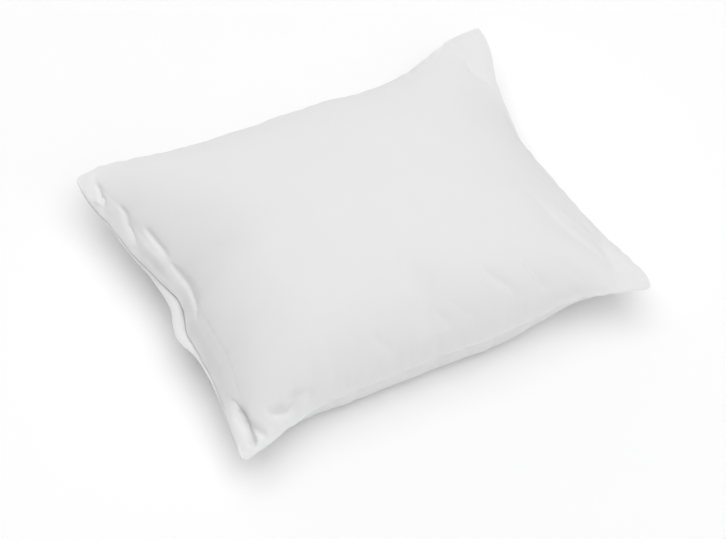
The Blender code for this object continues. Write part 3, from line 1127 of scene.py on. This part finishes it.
@dataclass
class Pillowcase:
    """The filled case: front and back panel, sewn edges, and the mouth between two hems."""

    form: FilledForm
    detail: SewnDetail
    settling: ClothSettling
    cells_along: int = 216
    cells_across: int = 184
    wall_cells: int = 12
    crowding: float = 0.5

    # The mouth. It opens between two shares of the way from each side seam.
    lip_radius: float = 0.0006
    lip_gap: float = 0.0012
    mouth_depth: float = 0.024
    mouth_first: float = 0.03
    mouth_full: float = 0.12

    # The simulated case has a cell for every two of the finished one. It is loose near its
    # edges and held in the middle, where it lies on the floor, and at the edges themselves.
    settling_step: int = 2
    settling_wall_cells: int = 4
    loose_until: float = 0.02
    taut_from: float = 0.12
    lightly_held: float = 0.03
    at_edge: float = 0.001

    # The simulation's wrinkles are softened a little beside the seams, and calmed in the
    # middle, beyond the second of two distances from the edge.
    softening_rounds: int = 1
    calming_rounds: int = 10
    wrinkles_end: tuple[float, float] = (0.05, 0.13)

    def shares(self, step: int) -> tuple[Array, Array]:
        """A grid of places over the flat cloth, closer together beside the seams.

        Args:
            step: How many cells of the finished case make one cell of the grid.

        Returns:
            Shares of the cut's length, and of its width.
        """
        lines = []
        for cells in (self.cells_along, self.cells_across):
            even = np.arange(0, cells + 1, step) / cells
            lines.append(blend(even, (1.0 - np.cos(np.pi * even)) / 2.0, self.crowding))
        return self.form.round_tips(*np.meshgrid(*lines, indexing="ij"))

    @staticmethod
    def rim(grid: Array) -> Array:
        """A grid's outer points in order: front side, closed end, back side, open end."""
        return np.concatenate([grid[:-1, 0], grid[-1, :-1], grid[:0:-1, -1], grid[0, :0:-1]])

    @staticmethod
    def normals(points: Array) -> Array:
        """The direction square to a grid of points, upwards."""
        return unit(np.cross(np.gradient(points, axis=0), np.gradient(points, axis=1)))

    def wall(self, along: Array, across: Array, front: Array, back: Array, cells: int) -> Array:
        """The rolled edge of the sewn sides and the two lips of the mouth.

        Args:
            along: Shares of the cut's length, on the panels' grid.
            across: Shares of the cut's width, on the same grid.
            front: The front panel's points.
            back: The back panel's points.
            cells: How many cells there are through the edge.

        Returns:
            The rings of points from the back panel's edge to the front panel's, in order.
        """
        upper, lower = self.rim(front), self.rim(back)
        middle = (upper + lower) / 2.0
        ahead = np.roll(middle, -1, axis=0) - np.roll(middle, 1, axis=0)
        outward = unit(np.stack([ahead[:, 1], -ahead[:, 0], np.zeros(len(ahead))], axis=1))
        share = np.linspace(0.0, 1.0, cells + 1)[:, None, None]
        roll = self.form.edge_radius * np.sin(np.pi * share)
        sewn = blend(lower, upper, (1.0 - np.cos(np.pi * share)) / 2.0) + roll * outward
        opened = smooth_step(self.mouth_first, self.mouth_full, np.minimum(across, 1.0 - across))
        opened = self.rim(np.where(along == 0.0, opened, 0.0))
        return blend(sewn, self.lips(along, front, back, cells, outward), opened[None, :, None])

    def lips(self, along: Array, front: Array, back: Array, cells: int, outward: Array) -> Array:
        """The mouth's two hems and the cloth inside them.

        The lower lip reaches out past the upper one, so its inner face shows. It runs in just
        under the upper lip's edge, and drops away behind it.

        Args:
            along: Shares of the cut's length, on the panels' grid.
            front: The front panel's points.
            back: The back panel's points.
            cells: How many cells there are through the edge, four for each roll and face.
            outward: The direction out of the rim at each of its points.

        Returns:
            Rings for the whole rim, though only those at the mouth mean anything.
        """
        inwards = along[:, along.shape[1] // 2] * self.form.cut_length
        elsewhere = len(outward) - (front.shape[1] - 1)

        def inside(grid: Array, depth: float) -> Array:
            """Points of a panel a little way behind its rim."""
            row = grid[np.searchsorted(inwards, depth)]
            return np.concatenate([np.repeat(row[:1], elsewhere, axis=0), row[:0:-1]])

        def between(depth: float) -> Array:
            """Points half way between the two panels, a little way behind the rim."""
            return (inside(front, depth) + inside(back, depth)) / 2.0

        upper, lower = self.rim(front), self.rim(back)
        quarter = cells // 4
        lift, gap = np.array([[0.0, 0.0, self.lip_radius], [0.0, 0.0, self.lip_gap]])
        turns = [math.pi * step / quarter for step in range(quarter)]
        rolls = [(lift * (1.0 - math.cos(turn)), self.lip_radius * math.sin(turn) * outward)
                 for turn in turns]
        depths = [self.mouth_depth * step / quarter for step in range(1, quarter)]
        # A coarse wall has room for the first rings of the lower lip's face alone.
        lower_face = [lower + 2.0 * lift, upper - 2.0 * lift - gap, *map(between, depths)]
        upper_face = [inside(front, depth) - 2.0 * lift for depth in reversed(depths)]
        return np.array([
            *(lower + rise + out for rise, out in rolls),
            *lower_face[:quarter],
            between(self.mouth_depth),
            *upper_face, upper - 2.0 * lift,
            *(upper - rise + out for rise, out in reversed(rolls)),
        ])

    def solid(self, front: Array, back: Array, wall: Array) -> tuple[Array, Array]:
        """Joins the two panels and the wall between them.

        Args:
            front: The front panel's grid of points.
            back: The back panel's grid of points.
            wall: The rings from the back panel's edge to the front panel's.

        Returns:
            All points, and all faces as rows of four point numbers that face out.
        """
        length, width = front.shape[:2]
        count = length * width
        numbers = np.arange(count).reshape(length, width)
        between = wall[1:-1]
        rings = 2 * count + np.arange(between.shape[0] * between.shape[1])
        rings = np.concatenate([self.rim(numbers)[None] + count,
                                rings.reshape(between.shape[:2]), self.rim(numbers)[None]])
        top = [numbers[:-1, :-1], numbers[1:, :-1], numbers[1:, 1:], numbers[:-1, 1:]]
        bottom = [corner + count for corner in reversed(top)]
        onward = np.roll(rings, -1, axis=1)
        side = [rings[:-1], onward[:-1], onward[1:], rings[1:]]
        faces = np.concatenate([np.stack([corner.ravel() for corner in part], axis=1)
                                for part in (top, bottom, side)])
        points = np.concatenate([part.reshape(-1, 3) for part in (front, back, between)])
        return points, faces

    def settle(self) -> dict[Panel, Array]:
        """Lets a coarse case settle, and reads its movement on the fine grid.

        Returns:
            How far each point of each panel moves.
        """
        along, across = self.shares(self.settling_step)
        front, back = (self.form.place(along, across, panel) for panel in Panel)
        wall = self.wall(along, across, front, back, self.settling_wall_cells)
        points, faces = self.solid(front, back, wall)
        count = along.size
        nearest = np.minimum.reduce(list(self.detail.distances(along, across).values()))
        inward = nearest.ravel()
        loose = 1.0 - smooth_step(self.loose_until, self.taut_from, inward)
        firm = np.where(inward < self.at_edge, 1.0, self.lightly_held)
        under = np.where(back[..., 2].ravel() < self.at_edge, 1.0, firm)
        edges = np.ones(len(points) - 2 * count)
        moved = self.settling.settle(points, faces, np.concatenate([firm, under, edges]),
                                     np.concatenate([loose, loose, edges]))
        middle = smooth_step(*self.wrinkles_end, nearest)[..., None]
        grids = {}
        for panel, part in zip(Panel, (moved[:count], moved[count:2 * count])):
            grid = part.reshape(along.shape + (3,))
            softened = self.calmed(grid, self.softening_rounds)
            calm = self.calmed(grid, self.calming_rounds)
            grids[panel] = self.finer(blend(softened, calm, middle))
        return grids

    @staticmethod
    def calmed(grid: Array, rounds: int) -> Array:
        """A grid of values with its small wrinkles averaged away.

        Args:
            grid: The values.
            rounds: How many times each value is averaged with its neighbours.

        Returns:
            The calmer values.
        """
        for _ in range(rounds):
            grid = smoothed(smoothed(grid, 0), 1)
        return grid

    @staticmethod
    def finer(grid: Array) -> Array:
        """A grid of values with a smooth new row and column between each two.

        Args:
            grid: The values.

        Returns:
            The old and the new values.
        """
        for axis in (0, 1):
            grid = np.moveaxis(grid, axis, 0)
            padded = np.concatenate([grid[:1], grid, grid[-1:]])
            between = (9.0 * (padded[1:-2] + padded[2:-1]) - padded[:-3] - padded[3:]) / 16.0
            fine = np.empty((2 * len(grid) - 1,) + grid.shape[1:])
            fine[::2], fine[1::2] = grid, between
            grid = np.moveaxis(fine, 0, axis)
        return grid

    def panel_points(self, along: Array, across: Array, panel: Panel, moved: Array) -> Array:
        """One panel's finished points: smooth form, settled cloth, then sewn detail.

        Args:
            along: Shares of the cut's length.
            across: Shares of the cut's width.
            panel: Which panel.
            moved: How far each point moved as the cloth settled.

        Returns:
            Points, with the coordinates in the last axis.
        """
        points = self.form.place(along, across, panel) + moved
        outward = self.normals(points) * (1.0 if panel is Panel.FRONT else -1.0)
        points += outward * self.detail.relief(along, across, panel)[..., None]
        points += self.detail.lip_waves(along, across, panel)
        points += self.detail.seam_waves(along, across)
        points[..., 2] = np.maximum(points[..., 2], 0.0)
        return points

    def build(self, cloth: bpy.types.Material) -> bpy.types.Object:
        """Makes the case and seats it where the model's solid is.

        Args:
            cloth: The finish of the cotton.

        Returns:
            The finished case.
        """
        along, across = self.shares(1)
        still = dict.fromkeys(Panel, np.zeros(along.shape + (3,)))
        moved = self.settle()
        front, back = (self.panel_points(along, across, panel, moved[panel]) for panel in Panel)
        wall = self.wall(along, across, front, back, self.wall_cells)
        points, faces = self.solid(front, back, wall)
        points[:, :2] += self.seat(along, across)
        case = add_mesh("cotton_case", points, faces)
        case.data.attributes.new(CUT_PLACE, "FLOAT_VECTOR", "POINT").data.foreach_set(
            "vector", self.places_on_cut(along, across).ravel())
        case.data.shade_smooth()
        case.data.materials.append(cloth)
        return case

    def places_on_cut(self, along: Array, across: Array) -> Array:
        """Where each point of the case is on the flat cloth, for the weave.

        Args:
            along: Shares of the cut's length.
            across: Shares of the cut's width.

        Returns:
            Places in metres, in the order of the solid's points, the back panel's a metre up.
        """
        flat = np.stack([along * self.form.cut_length, across * self.form.cut_width,
                         np.zeros_like(along)], axis=-1)
        rim = np.tile(self.rim(flat), (self.wall_cells - 1, 1))
        panel = flat.reshape(-1, 3)
        return np.concatenate([panel, panel + (0.0, 0.0, 1.0), rim])

    def seat(self, along: Array, across: Array) -> Array:
        """How far the case moves in plan to lie in the middle of the model's box.

        Args:
            along: Shares of the cut's length.
            across: Shares of the cut's width.

        Returns:
            The move along X and Y.
        """
        rim = self.rim(self.form.place(along, across, Panel.FRONT))[:, :2]
        low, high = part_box(NODE)
        middle = np.array([low.x + high.x, low.y + high.y]) / 2.0
        return middle - (rim.min(axis=0) + rim.max(axis=0)) / 2.0


# ---------------------------------------------------------------------------------------------
# Finishes
# ---------------------------------------------------------------------------------------------


@dataclass(frozen=True)
class BleachedPercale:
    """Cotton percale: a plain weave of fine combed threads, bleached white and pressed.

    It gives the eye a matte white that stays even over the crown and turns soft, not shiny,
    at the edges, with a faint grain along the warp and the weft. Real percale has a thread
    about every 0.25 mm, which is too fine to show from the camera, so the grain is drawn at
    thread_mm, with each thread about twelve times as long as it is wide. The white clouds a
    little over areas of cloud_mm, as yarn and pressing vary.
    """

    colour: str = "E9E9E9"
    shade: str = "E7E7E7"
    roughness: float = 0.88
    specular: float = 0.25
    sheen: float = 0.12
    sheen_roughness: float = 0.5
    thread_mm: float = 1.6
    thread_squash: float = 0.08
    grain_strength: float = 0.25
    grain_depth: float = 0.0004
    cloud_mm: float = 60.0

    def make(self) -> bpy.types.Material:
        """Makes the finish.

        Returns:
            The material, which reads each point's place on the flat cloth.
        """
        material, shader = new_material(
            "bleached_cotton_percale", Roughness=self.roughness, Sheen_Weight=self.sheen,
            Sheen_Roughness=self.sheen_roughness, Specular_IOR_Level=self.specular)
        tree = material.node_tree
        place = add_node(tree, "ShaderNodeAttribute", {"attribute_name": CUT_PLACE})
        place = place.outputs["Vector"]

        def threads(along: float, across: float) -> bpy.types.NodeSocket:
            """The grain of the threads that run one way.

            Args:
                along: How much the grain is squashed along the cut.
                across: How much it is squashed across it.

            Returns:
                The grain's height.
            """
            stretched = add_node(tree, "ShaderNodeVectorMath", {"operation": "MULTIPLY"},
                                 _0=place, _1=(along, across, 1.0)).outputs[0]
            return add_node(tree, "ShaderNodeTexNoise", Vector=stretched, Detail=2.0,
                            Scale=1000.0 / self.thread_mm).outputs[0]

        weave = add_node(tree, "ShaderNodeMath", {"operation": "ADD"},
                         _0=threads(1.0, self.thread_squash),
                         _1=threads(self.thread_squash, 1.0)).outputs[0]
        bump = add_node(tree, "ShaderNodeBump", Strength=self.grain_strength,
                        Distance=self.grain_depth, Height=weave)
        cloudy = add_node(tree, "ShaderNodeTexNoise", Vector=place, Detail=3.0,
                          Scale=1000.0 / self.cloud_mm).outputs[0]
        tint = add_node(tree, "ShaderNodeMix", {"data_type": "RGBA"}, _0=cloudy,
                        _6=linear_colour(self.colour), _7=linear_colour(self.shade))
        tree.links.new(bump.outputs[0], shader.inputs["Normal"])
        tree.links.new(tint.outputs[2], shader.inputs["Base Color"])
        return material


@dataclass(frozen=True)
class PaleSweep:
    """Matte white paper under the pillow, which gives the eye a soft contact shadow."""

    colour: str = "FCFCFC"

    def make(self) -> bpy.types.Material:
        """The finish as a material."""
        return new_material("matte_white_paper", Base_Color=linear_colour(self.colour),
                            Roughness=1.0, Specular_IOR_Level=0.0)[0]


# ---------------------------------------------------------------------------------------------
# The studio
# ---------------------------------------------------------------------------------------------


class Softbox(NamedTuple):
    """A wide diffused lamp: where it stands and how wide it looks, in degrees, its strength."""

    name: str
    azimuth: float
    elevation: float
    width: float
    strength: float


@dataclass
class Studio:
    """Floor, soft light and the camera.

    The camera stands at an azimuth, in degrees round from -Y, and an elevation. It sees
    pixels_per_metre at the pillow, and the point seen_height above the origin lies at the
    picture's place seen_at.
    """

    azimuth: float = -26.62
    elevation: float = 53.44
    distance: float = 5.0
    pixels_per_metre: float = 767.7
    image_width: int = 726
    image_height: int = 539
    seen_at: tuple[float, float] = (361.56, 231.58)
    seen_height: float = 0.06
    sensor_mm: float = 36.0
    far_clip: float = 100.0
    floor_width: float = 8.0
    lamp_distance: float = 3.0
    sky: float = 0.02
    boxes: tuple[Softbox, ...] = (
        Softbox("right", azimuth=315.0, elevation=50.0, width=80.0, strength=0.50),
        Softbox("back", azimuth=90.0, elevation=25.0, width=80.0, strength=1.20),
        Softbox("front", azimuth=270.0, elevation=25.0, width=80.0, strength=0.82),
        Softbox("overhead", azimuth=0.0, elevation=90.0, width=80.0, strength=1.84),
    )

    def floor(self, paper: bpy.types.Material) -> None:
        """Lays a flat sheet under everything.

        Args:
            paper: The finish of the sheet.
        """
        corners = np.array([(-1, -1, 0), (1, -1, 0), (1, 1, 0), (-1, 1, 0)])
        sheet = add_mesh("floor", corners * self.floor_width / 2.0, np.array([(0, 1, 2, 3)]))
        sheet.data.materials.append(paper)

    def lights(self) -> None:
        """Lights the scene with an even white sky and the softboxes."""
        world = bpy.data.worlds.new("studio")
        world.use_nodes = True
        background = world.node_tree.nodes["Background"]
        background.inputs["Color"].default_value = (1.0, 1.0, 1.0, 1.0)
        background.inputs["Strength"].default_value = self.sky
        bpy.context.scene.world = world
        for box in self.boxes:
            data = bpy.data.lights.new(f"softbox_{box.name}", "SUN")
            data.angle = math.radians(box.width)
            data.energy = box.strength
            lamp = bpy.data.objects.new(f"softbox_{box.name}", data)
            towards = direction(box.azimuth, box.elevation)
            lamp.location = towards * self.lamp_distance
            lamp.rotation_euler = towards.to_track_quat("Z", "Y").to_euler()
            bpy.context.scene.collection.objects.link(lamp)

    def camera(self) -> None:
        """Sets a long lens at the pillow's three-quarter view."""
        back = direction(self.azimuth - 90.0, self.elevation)
        right = direction(self.azimuth, 0.0)
        up = back.cross(right)
        aim = Vector((0.0, 0.0, self.seen_height))
        aim += right * ((self.image_width / 2.0 - self.seen_at[0]) / self.pixels_per_metre)
        aim -= up * ((self.image_height / 2.0 - self.seen_at[1]) / self.pixels_per_metre)
        data = bpy.data.cameras.new("camera")
        data.sensor_width = self.sensor_mm
        data.lens = self.pixels_per_metre * self.distance * self.sensor_mm / self.image_width
        data.clip_end = self.far_clip
        camera = bpy.data.objects.new("camera", data)
        camera.location = aim + back * self.distance
        camera.rotation_euler = back.to_track_quat("Z", "Y").to_euler()
        bpy.context.scene.collection.objects.link(camera)
        bpy.context.scene.camera = camera

    def build(self, paper: bpy.types.Material) -> None:
        """Sets up floor, lights and camera.

        Args:
            paper: The finish of the floor.
        """
        self.floor(paper)
        self.lights()
        self.camera()
        bpy.context.scene.view_settings.view_transform = "Standard"


def main() -> None:
    """Builds the studio and the pillowcase, and says what it made."""
    logging.basicConfig(level=logging.INFO, format="%(name)s: %(message)s")
    Studio().build(PaleSweep().make())
    form = FilledForm()
    pillowcase = Pillowcase(form, SewnDetail(form), ClothSettling())
    case = pillowcase.build(BleachedPercale().make())
    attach(case, BODY)
    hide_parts(NODE)
    LOG.info("%s: %d faces", case.name, len(case.data.polygons))


if __name__ == "__main__":
    main()
